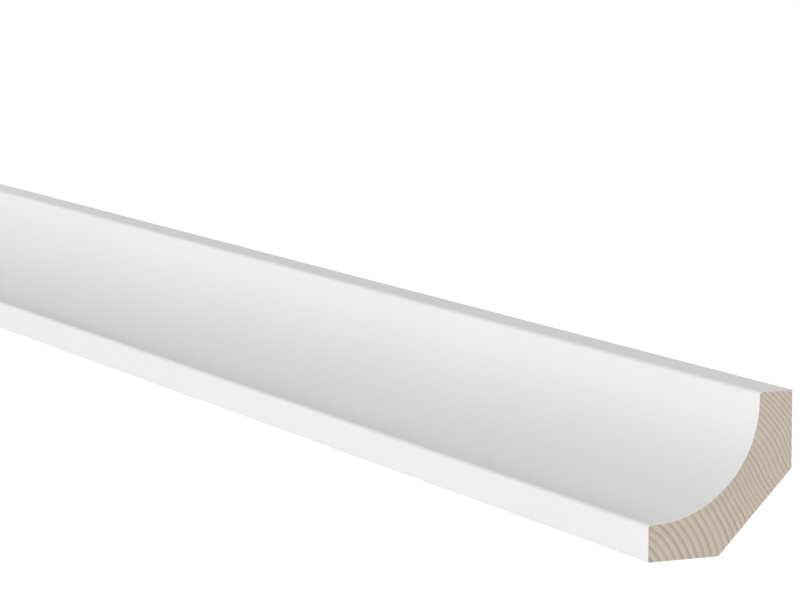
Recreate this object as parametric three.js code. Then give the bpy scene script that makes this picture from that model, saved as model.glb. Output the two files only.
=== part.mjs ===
// Cove crown moulding: one length of softwood with a hollow face, a flat lip along
// each edge and a bevelled back corner, painted white all along and sawn square at
// both ends. Millimetres, +Z up. X runs along the moulding, the wall is behind it at
// Y = 0 and the origin is the middle of the face that lies against that wall.

import * as THREE from 'three';

// Driving dimensions

const LENGTH = 700;         // along the moulding, between the two sawn ends
const LEG = 45;             // reach of the section up the wall, and out from it
const LIP = 10.5;           // width of each flat lip, measured to its sharp corner
const BACK_BEVEL = 23;      // taken off both legs at the back corner
const ARRIS_RADIUS = 1;     // rounding of each lip where the hollow meets it
const COVE_RUN_OUT = 1;     // straight stretch between the hollow and each arris
const COVE_FACETS = 56;     // steps around the quarter circle of the hollow
const ARRIS_FACETS = 8;     // steps around each rounded arris

// Sizes that follow from them

const coveInset = ARRIS_RADIUS + COVE_RUN_OUT;
const coveRadius = LEG - LIP - coveInset;
const wallFaceHeight = LEG - BACK_BEVEL;
const top = wallFaceHeight / 2;
const bottom = top - LEG;

// The section lies in two directions: across is the distance out from the wall,
// towards the front, and up is the height.

function addArc(points, centreAcross, centreUp, radius, startAngle, endAngle, facets) {
  for (let step = 0; step <= facets; step += 1) {
    const angle = startAngle + (endAngle - startAngle) * step / facets;
    const across = centreAcross + radius * Math.cos(angle);
    const up = centreUp + radius * Math.sin(angle);
    points.push(new THREE.Vector2(across, up));
  }
}

function addArris(points, cornerAcross, cornerUp) {
  addArc(points, cornerAcross - ARRIS_RADIUS, cornerUp - ARRIS_RADIUS, ARRIS_RADIUS,
    0, Math.PI / 2, ARRIS_FACETS);
}

function addCove(points) {
  addArc(points, LEG - coveInset, top - coveInset, coveRadius,
    Math.PI * 1.5, Math.PI, COVE_FACETS);
}

function mouldingSection() {
  const points = [
    new THREE.Vector2(0, top - wallFaceHeight),
    new THREE.Vector2(BACK_BEVEL, bottom),
    new THREE.Vector2(LEG, bottom),
  ];
  addArris(points, LEG, bottom + LIP);
  addCove(points);
  addArris(points, LIP, top);
  points.push(new THREE.Vector2(0, top));
  return new THREE.Shape(points);
}

function mouldingGeometry() {
  const geometry = new THREE.ExtrudeGeometry(mouldingSection(), {
    depth: LENGTH,
    steps: 1,
    bevelEnabled: false,
  });

  // The extrusion runs along Z with the section in X and Y. Turning it lays the run
  // along X, with the section's height along Z and the front towards -Y.
  const across = new THREE.Vector3(0, -1, 0);
  const up = new THREE.Vector3(0, 0, 1);
  const along = new THREE.Vector3().crossVectors(across, up);
  geometry.applyMatrix4(new THREE.Matrix4().makeBasis(across, up, along));
  geometry.translate(LENGTH / 2, 0, 0);
  return geometry;
}

const whitePaint = new THREE.MeshStandardMaterial({
  color: 0xf4f4f2,
  roughness: 0.45,
  metalness: 0,
});

const moulding = new THREE.Mesh(mouldingGeometry(), whitePaint);
moulding.name = 'cove_moulding';

const part = new THREE.Group();
part.add(moulding);

export default part;
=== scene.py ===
import math

import bmesh
import bpy
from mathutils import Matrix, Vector


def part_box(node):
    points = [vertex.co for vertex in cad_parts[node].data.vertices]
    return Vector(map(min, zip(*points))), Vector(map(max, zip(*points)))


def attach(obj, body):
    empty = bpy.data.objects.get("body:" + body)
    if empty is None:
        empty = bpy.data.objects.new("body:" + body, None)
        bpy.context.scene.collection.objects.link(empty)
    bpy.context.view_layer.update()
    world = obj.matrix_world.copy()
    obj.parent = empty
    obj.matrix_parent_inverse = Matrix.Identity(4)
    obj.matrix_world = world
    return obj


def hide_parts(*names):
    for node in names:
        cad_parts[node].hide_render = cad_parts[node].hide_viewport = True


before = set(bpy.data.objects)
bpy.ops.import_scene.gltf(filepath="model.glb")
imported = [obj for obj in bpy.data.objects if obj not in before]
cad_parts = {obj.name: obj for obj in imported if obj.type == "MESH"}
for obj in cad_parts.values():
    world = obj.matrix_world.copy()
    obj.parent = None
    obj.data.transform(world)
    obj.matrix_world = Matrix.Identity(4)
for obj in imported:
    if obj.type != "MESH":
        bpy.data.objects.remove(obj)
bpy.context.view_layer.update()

# A length of cove crown moulding in softwood. It is painted white along its faces and
# sawn square at both ends. Everything is in metres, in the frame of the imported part:
# X along the moulding, the wall at Y = 0, Z up.

MOULDING = "cove_moulding"
LOW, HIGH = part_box(MOULDING)
MM = 0.001
COS_45 = math.sqrt(0.5)

# Section of the moulding

LEG = HIGH.z - LOW.z
LIP = 10.5 * MM               # width of each flat lip, to its sharp corner
BACK_BEVEL = 23 * MM          # taken off both legs at the back corner
ARRIS_RADIUS = 1 * MM         # rounding of each lip where the hollow meets it
COVE_RUN_OUT = 1 * MM         # straight stretch between the hollow and each arris
COVE_INSET = ARRIS_RADIUS + COVE_RUN_OUT
EDGE_EASE = 0.2 * MM          # rounding of the crisp back and outer edges
PAINT_FILM = 0.12 * MM        # thickness of the paint, seen where the saw cut it
WOOD_RECESS = 0.02 * MM       # how far the sawn wood lies below the cut paint

# Steps along the outline. The hollow side and the back side have as many steps as
# each other, and so have the two lips, so that quads fill the sawn end.

HALF_ARRIS_STEPS = 4
RUN_OUT_STEPS = 3
EASE_STEPS = 2
LIP_STEPS = 28
UNDERSIDE_STEPS = 53
BEVEL_STEPS = 78
BACK_SIDE_STEPS = 2 * UNDERSIDE_STEPS + BEVEL_STEPS + 3 * EASE_STEPS   # the outer two by half
COVE_STEPS = BACK_SIDE_STEPS - 2 * (RUN_OUT_STEPS + HALF_ARRIS_STEPS)
LENGTH_CUTS = 39              # across the moulding, between its ends
TOUCHING = 0.01 * MM          # points closer than this are one point
SMOOTH_ANGLE = math.radians(30)

# Growth rings. The pith lies outside the section, in front of the front lip and below
# it. Radii and widths are in mm. Each pair is a radius and how wide a ring is there, and
# the rings swell outwards on one side.

PITH_ACROSS = LEG + 10.5 * MM
PITH_UP = LOW.z - 8.3 * MM
RING_WIDTHS = ((10, 2.17), (34, 2.12), (42, 1.7), (50, 1.27), (61, 1.73), (68, 1.23), (80, 1.33))
RING_REACH = 80
RING_STEP = 2
DARK_RING_RADIUS = 10.17      # where one dark ring lies, which places all the others
SWELL = 1.2                   # at the radius below
SWELL_RADIUS = 60
SWELL_GROWTH = 4              # power of the radius with which it grows
SWELL_ANGLE = math.radians(31.5)
SWELL_SPREAD = math.radians(5)
RING_STRAY = 0.22             # how far a ring strays from its line
RING_RELIEF = 0.05 * MM       # depth of the soft early wood below the hard late wood

# Late wood through one ring. Each pair is a place in the ring, from 0 on its inside to 1
# on its outside, and how much late wood there is.

LATE_CENTRE = 0.88            # a place in the dark part
LATE_PROFILE = ((0, 0.55), (0.1, 0.05), (0.38, 0), (0.66, 0.35), (0.84, 1), (0.95, 1), (1, 0.55))
RING_STRENGTH = (0.6, 1)      # of the palest ring and of the darkest one
PATCH_STRENGTH = (0.75, 1.1)  # of the pale and dark patches along a ring

# Scales of the patterns, in waves to the metre

RING_STRAY_SCALE = 110
RING_PATCH_SCALE = 160
PEEL_SCALE = 520
FIBRE_SCALE = 1500
COAT_PATCH_SCALE = 14
WOOD_TONE_SCALE = 70
CUT_FIBRE_SCALE = 3800
RAY_SCALES = (90, 60, 1)      # round the pith, in waves to the radian, and out from it

# Shares of those scales along X, Y and Z, for patterns that run along the moulding

RING_DRAWN_OUT = (0.06, 1, 1)
FIBRE_DRAWN_OUT = (0.03, 1, 1)

# How much of a noise is clipped at each end, and the same for a stronger contrast

NOISE_CLIP = 0.3
STRONG_CLIP = 0.35

# Finishes. Colours are linear.

PAINT_WHITE = (0.845, 0.845, 0.845, 1)
PAINT_SHADE = (0.825, 0.826, 0.828, 1)
PAINT_ROUGHNESS = (0.44, 0.52)
PAINT_SPECULAR = 0.2
PAINT_RELIEF = 0.01 * MM
FIBRE_IN_PAINT = 0.35         # how strongly the fibres show in that relief

EARLY_WOOD = (0.61, 0.54, 0.457, 1)
EARLY_WOOD_WARM = (0.585, 0.505, 0.418, 1)
LATE_WOOD = (0.41, 0.345, 0.275, 1)
CUT_FIBRE_SHADES = (0.93, 1.06)
RAY_SHADES = (0.965, 1.03)
WOOD_ROUGHNESS = 0.8
WOOD_SPECULAR = 0.3
WOOD_RELIEF = 0.05 * MM
RINGS_IN_WOOD_RELIEF = 0.4

THIN_COAT = (0.74, 0.735, 0.72, 1)
THIN_COAT_ON_LATE_WOOD = (0.62, 0.585, 0.53, 1)
FIBRE_SHOWING = 0.5           # how strongly the fibres show through, next to the rings
THIN_COAT_ROUGHNESS = 0.7
THIN_COAT_RELIEF = 0.03 * MM
RINGS_IN_COAT_RELIEF = 0.6
OVERSPRAY_START = 30 * MM     # from the back corner as it was before its bevel
OVERSPRAY_FULL = 46 * MM
OVERSPRAY_RAGGED = 6 * MM
SHOWING_AT_EDGE = 0.15        # how much of the grain still shows at the outer edges

# Studio

WHITE = (1, 1, 1, 1)
FLOOR_SIZE = 60
FLOOR_GREY = (0.35, 0.35, 0.35, 1)
FLOOR_ROUGHNESS = 0.9
FLOOR_BOUNCE = 0.43           # how much the floor lights the moulding
FLOOR_SHOWN = 0.87            # how bright it shows, so that it reads as white
SKY_AT_HORIZON = 0.4
SOFTBOXES = (                 # place, width, height and power
    ("front_softbox", (0, -2.4, 0.1), 3.0, 0.2, 36),
    ("back_softbox", (0, 2.0, 1.3), 3.0, 1.0, 18),
    ("top_softbox", (0, 1.0, 2.3), 3.0, 1.0, 22),
    ("left_softbox", (-2.6, 0, 0.5), 1.6, 0.8, 6),
    ("right_softbox", (2.6, 0, 0.5), 1.6, 0.8, 20.5),
)

# Camera, from the photograph's perspective. The lens is in mm.

CAMERA_AZIMUTH = math.radians(65.094)
CAMERA_ELEVATION = math.radians(7.117)
CAMERA_LENS = 173.31
CAMERA_BEYOND_END = 0.9082
CAMERA_BEFORE_LIP = 0.4962
CAMERA_ABOVE_UNDERSIDE = 0.2012


# Selecting

def deselect_everything():
    bpy.ops.object.select_all(action="DESELECT")


def select_edges(test):
    """Selects the edges whose two ends pass the test, of the mesh in edit mode."""
    bpy.ops.mesh.select_mode(type="EDGE")
    bpy.ops.mesh.select_all(action="DESELECT")
    mesh = bmesh.from_edit_mesh(bpy.context.object.data)
    for edge in mesh.edges:
        edge.select = test(edge.verts[0].co, edge.verts[1].co)
    bmesh.update_edit_mesh(bpy.context.object.data)


def select_faces(test):
    """Selects the faces whose normal passes the test, of the mesh in edit mode."""
    bpy.ops.mesh.select_mode(type="FACE")
    bpy.ops.mesh.select_all(action="DESELECT")
    mesh = bmesh.from_edit_mesh(bpy.context.object.data)
    mesh.normal_update()
    for face in mesh.faces:
        face.select = test(face.normal)
    bmesh.update_edit_mesh(bpy.context.object.data)


def faces_back(normal):
    """Tells the wall face, the back bevel and the underside by their normals."""
    return normal.y - normal.z > COS_45


def faces_end(normal):
    return abs(normal.x) > COS_45


# Outline of the section

def section_point(across, up):
    """A point of the section at the left-hand end. Across is the distance from the wall."""
    return Vector((LOW.x, -across, up))


class Outline:
    """Draws the outline of the section in edit mode, one stretch after another."""

    def __init__(self, across, up):
        self.place = section_point(across, up)
        bpy.ops.mesh.primitive_plane_add(size=MM, location=self.place)
        bpy.ops.object.transform_apply(location=True, rotation=False, scale=False)
        bpy.ops.object.mode_set(mode="EDIT")
        bpy.ops.mesh.select_all(action="SELECT")
        bpy.ops.mesh.merge(type="CENTER")

    def run(self, across, up, steps):
        """A straight stretch to the point given."""
        target = section_point(across, up)
        move = (target - self.place) / steps
        for _ in range(steps):
            bpy.ops.mesh.extrude_region_move(TRANSFORM_OT_translate={"value": move})
        self.place = target

    def turn(self, centre_across, centre_up, degrees, steps):
        """An arc about the centre given. It is negative round a corner of the wood, and
        positive round the hollow."""
        centre = section_point(centre_across, centre_up)
        angle = math.radians(degrees)
        bpy.ops.mesh.spin(
            steps=steps, dupli=False, angle=angle, center=centre, axis=(-1, 0, 0))
        arm = self.place - centre
        across = arm.y * math.cos(angle) - arm.z * math.sin(angle)
        up = arm.y * math.sin(angle) + arm.z * math.cos(angle)
        self.place = centre + Vector((0, across, up))

    def close(self):
        bpy.ops.mesh.select_all(action="SELECT")
        bpy.ops.mesh.remove_doubles(threshold=TOUCHING)


def draw_outline():
    top, bottom = HIGH.z, LOW.z
    ease_middle = EDGE_EASE * (1 - COS_45)
    bevel_ease = EDGE_EASE * math.tan(math.radians(22.5))
    bevel_end = bevel_ease * COS_45
    wall_face_foot = bottom + BACK_BEVEL

    # It starts and ends in the middle of the lower front edge.
    line = Outline(LEG - ease_middle, bottom + ease_middle)
    line.turn(LEG - EDGE_EASE, bottom + EDGE_EASE, -45, EASE_STEPS // 2)

    # front lip and its arris
    line.run(LEG, bottom + LIP - ARRIS_RADIUS, LIP_STEPS)
    line.turn(LEG - ARRIS_RADIUS, bottom + LIP - ARRIS_RADIUS, -90, 2 * HALF_ARRIS_STEPS)

    # the hollow
    line.run(LEG - COVE_INSET, bottom + LIP, RUN_OUT_STEPS)
    line.turn(LEG - COVE_INSET, top - COVE_INSET, 90, COVE_STEPS)
    line.run(LIP, top - ARRIS_RADIUS, RUN_OUT_STEPS)

    # arris of the upper lip, the lip and the top back edge
    line.turn(LIP - ARRIS_RADIUS, top - ARRIS_RADIUS, -90, 2 * HALF_ARRIS_STEPS)
    line.run(EDGE_EASE, top, LIP_STEPS)
    line.turn(EDGE_EASE, top - EDGE_EASE, -90, EASE_STEPS)

    # wall face, back bevel and underside
    line.run(0, wall_face_foot + bevel_ease, UNDERSIDE_STEPS)
    line.turn(EDGE_EASE, wall_face_foot + bevel_ease, -45, EASE_STEPS)
    line.run(BACK_BEVEL - bevel_end, bottom + bevel_end, BEVEL_STEPS)
    line.turn(BACK_BEVEL + bevel_ease, bottom + EDGE_EASE, -45, EASE_STEPS)
    line.run(LEG - EDGE_EASE, bottom, UNDERSIDE_STEPS)
    line.turn(LEG - EDGE_EASE, bottom + EDGE_EASE, -45, EASE_STEPS // 2)
    line.close()


def on_hollow_side(point):
    """Between the middles of the two arrises, through the hollow."""
    arris_middle = ARRIS_RADIUS * (1 - COS_45) - TOUCHING
    across, up = -point.y, point.z
    below_both_arrises = across < LEG - arris_middle and up < HIGH.z - arris_middle
    off_both_lips = across > LIP - ARRIS_RADIUS and up > LOW.z + LIP - ARRIS_RADIUS
    return below_both_arrises and off_both_lips


def on_back_side(point):
    """On the wall face, the back bevel or the underside, as far as the middles of the
    eased edges at both ends."""
    across, up = -point.y, point.z - LOW.z
    from_bevel = (across + up - BACK_BEVEL) * COS_45
    return min(across, up, from_bevel) < EDGE_EASE / 2


def on_one_side(a, b):
    return on_hollow_side(a) and on_hollow_side(b) or on_back_side(a) and on_back_side(b)


def runs_lengthwise(a, b):
    return abs(a.x - b.x) > LEG


# Growth rings, as numbers

def read_off(points, place):
    """Reads a line of straight stretches through the points, at a place along it."""
    for (start, low), (end, high) in zip(points, points[1:]):
        if place <= end:
            return low + (high - low) * (place - start) / (end - start)
    return points[-1][1]


def count_rings():
    """Radii one RING_STEP apart, each with the number of rings inside it."""
    counts = [(0, 0.0)]
    for start in range(0, RING_REACH, RING_STEP):
        width = read_off(RING_WIDTHS, start + RING_STEP / 2)
        counts.append((start + RING_STEP, counts[-1][1] + RING_STEP / width))
    return counts


RING_COUNTS = count_rings()
RING_TOTAL = RING_COUNTS[-1][1]
RING_OFFSET = LATE_CENTRE - read_off(RING_COUNTS, DARK_RING_RADIUS)


def late_wood_at(point):
    """How much late wood there is at a point of a sawn end."""
    behind_pith, above_pith = point.y + PITH_ACROSS, point.z - PITH_UP
    radius = math.hypot(behind_pith, above_pith) / MM
    turned = (math.atan2(above_pith, behind_pith) - SWELL_ANGLE) / SWELL_SPREAD
    radius += SWELL * (radius / SWELL_RADIUS) ** SWELL_GROWTH * math.exp(-turned ** 2)
    return read_off(LATE_PROFILE, (read_off(RING_COUNTS, radius) + RING_OFFSET) % 1)


# Shader nodes

def feed(tree, node, inputs):
    """Sets the node's inputs. Each is a value, or an output to link from."""
    for name, value in inputs.items():
        if isinstance(value, bpy.types.NodeSocket):
            tree.links.new(value, node.inputs[name])
        else:
            node.inputs[name].default_value = value


def add_node(tree, kind, inputs=None, **settings):
    node = tree.nodes.new(kind)
    for name, value in settings.items():
        setattr(node, name, value)
    feed(tree, node, inputs or {})
    return node


def maths(tree, operation, first, second=0.0):
    node = add_node(tree, "ShaderNodeMath", {0: first, 1: second}, operation=operation)
    return node.outputs["Value"]


def plus(tree, first, second):
    return maths(tree, "ADD", first, second)


def times(tree, first, second):
    return maths(tree, "MULTIPLY", first, second)


def map_range(tree, value, start, end, low, high, kind="LINEAR"):
    inputs = {"Value": value, "From Min": start, "From Max": end, "To Min": low, "To Max": high}
    node = add_node(tree, "ShaderNodeMapRange", inputs, interpolation_type=kind)
    return node.outputs["Result"]


def noise(tree, place, scale, detail=2.0):
    inputs = {"Vector": place, "Scale": scale, "Detail": detail}
    return add_node(tree, "ShaderNodeTexNoise", inputs).outputs["Fac"]


def spread(tree, value, low, high, clip=NOISE_CLIP):
    """Spreads the middle of a noise over a range, and clips its rare values."""
    return map_range(tree, value, clip, 1 - clip, low, high)


def curve(tree, value, points):
    """A curve of straight stretches between the points."""
    node = add_node(tree, "ShaderNodeFloatCurve", {"Value": value})
    line = node.mapping.curves[0]
    line.points[0].location = points[0]
    line.points[1].location = points[-1]
    for point in points[1:-1]:
        line.points.new(*point)
    for point in line.points:
        point.handle_type = "VECTOR"
    node.mapping.update()
    return node.outputs["Value"]


def mix_colours(tree, share, first, second, blend_type="MIX"):
    """Mixes two colours. The node's colour sockets are told apart only by number."""
    inputs = {0: share, 6: first, 7: second}
    node = add_node(tree, "ShaderNodeMix", inputs, data_type="RGBA", blend_type=blend_type)
    return node.outputs[2]


def stretched(tree, place, scale):
    node = add_node(
        tree, "ShaderNodeVectorMath", {0: place, 1: scale}, operation="MULTIPLY")
    return node.outputs["Vector"]


def bump(tree, height, distance):
    inputs = {"Strength": 1.0, "Distance": distance, "Height": height}
    return add_node(tree, "ShaderNodeBump", inputs).outputs["Normal"]


def round_the_pith(tree, place):
    """The distance from the pith, and the angle round it, of a place measured from it."""
    axes = add_node(tree, "ShaderNodeSeparateXYZ", {"Vector": place})
    behind, above = axes.outputs["Y"], axes.outputs["Z"]
    square = plus(tree, times(tree, behind, behind), times(tree, above, above))
    return maths(tree, "SQRT", square), maths(tree, "ARCTAN2", above, behind)


# Shared effects

def new_group(name, outputs):
    """A node group with the place of the pattern as its input."""
    group = bpy.data.node_groups.new(name, "ShaderNodeTree")
    group.interface.new_socket("Place", in_out="INPUT", socket_type="NodeSocketVector")
    for output in outputs:
        group.interface.new_socket(output, in_out="OUTPUT", socket_type="NodeSocketFloat")
    place = group.nodes.new("NodeGroupInput").outputs["Place"]
    return group, place, group.nodes.new("NodeGroupOutput")


def use_group(tree, group, place):
    """Places the group in a material, and gives its outputs."""
    return add_node(tree, "ShaderNodeGroup", {"Place": place}, node_tree=group).outputs


def growth_ring_group():
    """Growth rings, at a place measured from the pith. Late Wood is about 1 in the dark
    part of the darkest rings, and 0 in the early wood."""
    group, place, result = new_group("growth_rings", ["Late Wood"])
    distance, angle = round_the_pith(group, place)
    radius = maths(group, "DIVIDE", distance, MM)

    # the swell on one side
    turned = maths(group, "DIVIDE", maths(group, "SUBTRACT", angle, SWELL_ANGLE), SWELL_SPREAD)
    fall = times(group, times(group, turned, turned), -1.0)
    growth = maths(group, "POWER", maths(group, "DIVIDE", radius, SWELL_RADIUS), SWELL_GROWTH)
    swell = times(group, maths(group, "EXPONENT", fall), times(group, growth, SWELL))

    # how many rings lie inside the place
    along = stretched(group, place, RING_DRAWN_OUT)
    stray = noise(group, along, RING_STRAY_SCALE)
    stray = map_range(group, stray, 0, 1, -RING_STRAY, RING_STRAY)
    grown = plus(group, plus(group, radius, swell), stray)
    counts = [(reach / RING_REACH, count / RING_TOTAL) for reach, count in RING_COUNTS]
    share = curve(group, maths(group, "DIVIDE", grown, RING_REACH), counts)
    rings = plus(group, times(group, share, RING_TOTAL), RING_OFFSET)

    # late wood, paler in some rings and in patches along each
    late = curve(group, maths(group, "FRACT", rings), LATE_PROFILE)
    whole = maths(group, "FLOOR", rings)
    random = add_node(group, "ShaderNodeTexWhiteNoise", {"W": whole}, noise_dimensions="1D")
    strength = map_range(group, random.outputs["Value"], 0, 1, *RING_STRENGTH)
    patches = spread(group, noise(group, along, RING_PATCH_SCALE, 3), *PATCH_STRENGTH)
    feed(group, result, {"Late Wood": times(group, late, times(group, strength, patches))})
    return group


def coat_group():
    """The skin of a sprayed coat. Peel is its fine unevenness, Fibre the lengthwise
    grain of the wood below, and Patch a slow change of thickness."""
    group, place, result = new_group("sprayed_coat", ["Peel", "Fibre", "Patch"])
    along = stretched(group, place, FIBRE_DRAWN_OUT)
    feed(group, result, {
        "Peel": noise(group, place, PEEL_SCALE),
        "Fibre": noise(group, along, FIBRE_SCALE, 3),
        "Patch": noise(group, place, COAT_PATCH_SCALE, 3),
    })
    return group


# Materials

def new_material(name):
    """A material with its shader, and the object's own coordinates."""
    material = bpy.data.materials.new(name)
    material.use_nodes = True
    tree = material.node_tree
    coordinates = add_node(tree, "ShaderNodeTexCoord").outputs["Object"]
    return material, tree, tree.nodes["Principled BSDF"], coordinates


def from_pith(tree, place):
    inputs = {"Vector": place, "Location": (0, PITH_ACROSS, -PITH_UP)}
    return add_node(tree, "ShaderNodeMapping", inputs).outputs["Vector"]


def white_paint(coat):
    """Satin paint on the hollow and the two lips."""
    material, tree, shader, place = new_material("satin_white_paint")
    skin = use_group(tree, coat, place)
    patch = spread(tree, skin["Patch"], 0, 1)
    relief = plus(tree, times(tree, skin["Fibre"], FIBRE_IN_PAINT), skin["Peel"])
    feed(tree, shader, {
        "Base Color": mix_colours(tree, patch, PAINT_WHITE, PAINT_SHADE),
        "Roughness": spread(tree, skin["Peel"], *PAINT_ROUGHNESS),
        "Specular IOR Level": PAINT_SPECULAR,
        "Normal": bump(tree, relief, PAINT_RELIEF),
    })
    return material


def end_grain(rings):
    """Bare sawn softwood."""
    material, tree, shader, place = new_material("sawn_end_grain")
    centred = from_pith(tree, place)
    late = use_group(tree, rings, centred)["Late Wood"]
    tone = spread(tree, noise(tree, place, WOOD_TONE_SCALE, 3), 0, 1, STRONG_CLIP)
    early = mix_colours(tree, tone, EARLY_WOOD, EARLY_WOOD_WARM)
    wood = mix_colours(tree, late, early, LATE_WOOD)

    # shades of the cut fibres, and of the rays that run out from the pith
    fibres = spread(tree, noise(tree, place, CUT_FIBRE_SCALE), *CUT_FIBRE_SHADES)
    distance, angle = round_the_pith(tree, centred)
    polar = add_node(tree, "ShaderNodeCombineXYZ", {"X": angle, "Y": distance})
    rays = noise(tree, stretched(tree, polar.outputs["Vector"], RAY_SCALES), 1)
    rays = spread(tree, rays, *RAY_SHADES, STRONG_CLIP)
    grain = times(tree, fibres, rays)
    shade = add_node(tree, "ShaderNodeCombineXYZ", {"X": grain, "Y": grain, "Z": grain})

    relief = plus(tree, grain, times(tree, late, RINGS_IN_WOOD_RELIEF))
    feed(tree, shader, {
        "Base Color": mix_colours(tree, 1.0, wood, shade.outputs["Vector"], "MULTIPLY"),
        "Roughness": WOOD_ROUGHNESS,
        "Specular IOR Level": WOOD_SPECULAR,
        "Normal": bump(tree, relief, WOOD_RELIEF),
    })
    return material


def thin_coat(coat, rings):
    """Overspray on the wall face, the back bevel and the underside. It is thickest at
    the outer edges, and the grain shows through the rest."""
    material, tree, shader, place = new_material("thin_back_coat")
    skin = use_group(tree, coat, place)
    late = use_group(tree, rings, from_pith(tree, place))["Late Wood"]

    # how much of the grain shows, less towards the outer edges
    axes = add_node(tree, "ShaderNodeSeparateXYZ", {"Vector": place})
    outwards = maths(tree, "SUBTRACT", axes.outputs["Z"], axes.outputs["Y"])
    ragged = map_range(tree, skin["Patch"], 0, 1, -OVERSPRAY_RAGGED, OVERSPRAY_RAGGED)
    start, full = LOW.z + OVERSPRAY_START, LOW.z + OVERSPRAY_FULL
    bare = plus(tree, outwards, ragged)
    bare = map_range(tree, bare, start, full, 1, SHOWING_AT_EDGE, "SMOOTHSTEP")
    fibre = spread(tree, skin["Fibre"], 0, FIBRE_SHOWING, STRONG_CLIP)
    showing = times(tree, plus(tree, late, fibre), bare)

    relief = plus(tree, times(tree, late, RINGS_IN_COAT_RELIEF), skin["Fibre"])
    feed(tree, shader, {
        "Base Color": mix_colours(tree, showing, THIN_COAT, THIN_COAT_ON_LATE_WOOD),
        "Roughness": THIN_COAT_ROUGHNESS,
        "Normal": bump(tree, relief, THIN_COAT_RELIEF),
    })
    return material


# The moulding

def draw_solid():
    """Fills the outline with quads and draws it out to the length of the moulding."""
    deselect_everything()
    draw_outline()
    select_edges(on_one_side)
    bpy.ops.mesh.fill_grid(use_interp_simple=False)
    bpy.ops.mesh.select_all(action="SELECT")
    bpy.ops.mesh.extrude_region_move(
        TRANSFORM_OT_translate={"value": (HIGH.x - LOW.x, 0, 0)})
    select_edges(runs_lengthwise)
    bpy.ops.mesh.subdivide(number_cuts=LENGTH_CUTS)
    bpy.ops.mesh.select_all(action="SELECT")
    bpy.ops.mesh.normals_make_consistent(inside=False)


def assign(material):
    """Gives the selected faces the material."""
    bpy.context.object.data.materials.append(material)
    bpy.context.object.active_material_index = len(bpy.context.object.data.materials) - 1
    bpy.ops.object.material_slot_assign()


def sink_early_wood():
    """Sinks the selected faces of the sawn ends a little wherever the wood is soft."""
    mesh = bmesh.from_edit_mesh(bpy.context.object.data)
    ends = {point for face in mesh.faces if face.select for point in face.verts}
    for point in ends:
        depth = RING_RELIEF * (1 - late_wood_at(point.co))
        point.co.x -= math.copysign(depth, point.co.x)
    bmesh.update_edit_mesh(bpy.context.object.data)


def painted_cove():
    rings = growth_ring_group()
    coat = coat_group()
    draw_solid()
    bpy.ops.mesh.select_all(action="SELECT")
    assign(white_paint(coat))
    select_faces(faces_back)
    assign(thin_coat(coat, rings))
    select_faces(faces_end)
    bpy.ops.mesh.inset(thickness=PAINT_FILM, depth=-WOOD_RECESS)
    assign(end_grain(rings))
    sink_early_wood()
    bpy.ops.object.mode_set(mode="OBJECT")
    bpy.ops.object.shade_smooth_by_angle(angle=SMOOTH_ANGLE)
    moulding = bpy.context.object
    moulding.name = "painted_cove"
    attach(moulding, "root")
    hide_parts(MOULDING)


# Studio

def seen_or_lighting(tree, seen, lighting):
    """One strength for what the camera sees, and another for what lights the moulding."""
    camera_ray = add_node(tree, "ShaderNodeLightPath").outputs["Is Camera Ray"]
    return map_range(tree, camera_ray, 0, 1, lighting, seen)


def add_floor():
    deselect_everything()
    bpy.ops.mesh.primitive_plane_add(size=FLOOR_SIZE, location=(0, 0, LOW.z))
    floor = bpy.context.object
    floor.name = "floor"
    material, tree, shader, _ = new_material("pale_floor")
    feed(tree, shader, {
        "Base Color": FLOOR_GREY,
        "Roughness": FLOOR_ROUGHNESS,
        "Specular IOR Level": 0.0,
        "Emission Color": WHITE,
        "Emission Strength": seen_or_lighting(tree, FLOOR_SHOWN, FLOOR_BOUNCE),
    })
    floor.data.materials.append(material)


def add_sky():
    """A soft dome, bright round the horizon and dark overhead, that shows as plain white."""
    world = bpy.data.worlds.new("studio")
    bpy.context.scene.world = world
    world.use_nodes = True
    tree = world.node_tree
    direction = add_node(tree, "ShaderNodeTexCoord").outputs["Generated"]
    up = add_node(tree, "ShaderNodeSeparateXYZ", {"Vector": direction}).outputs["Z"]
    level = maths(tree, "SQRT", maths(tree, "SUBTRACT", 1.0, times(tree, up, up)))
    light = times(tree, level, SKY_AT_HORIZON)
    background = {"Color": WHITE, "Strength": seen_or_lighting(tree, 1, light)}
    feed(tree, tree.nodes["Background"], background)


def add_softboxes():
    """Soft lights that all face the moulding, and that the camera doesn't see."""
    for name, place, width, height, power in SOFTBOXES:
        turn = (-Vector(place)).to_track_quat("-Z", "Y").to_euler()
        bpy.ops.object.light_add(type="AREA", location=place, rotation=turn)
        softbox = bpy.context.object
        softbox.name = name
        softbox.visible_camera = False
        softbox.data.shape = "RECTANGLE"
        softbox.data.size = width
        softbox.data.size_y = height
        softbox.data.energy = power


def add_camera():
    deselect_everything()
    place = (
        HIGH.x + CAMERA_BEYOND_END, LOW.y - CAMERA_BEFORE_LIP, LOW.z + CAMERA_ABOVE_UNDERSIDE)
    turn = (math.pi / 2 - CAMERA_ELEVATION, 0, CAMERA_AZIMUTH)
    bpy.ops.object.camera_add(location=place, rotation=turn)
    camera = bpy.context.object
    camera.data.lens = CAMERA_LENS
    bpy.context.scene.camera = camera


painted_cove()
add_floor()
add_sky()
add_softboxes()
add_camera()
bpy.context.scene.view_settings.view_transform = "Standard"
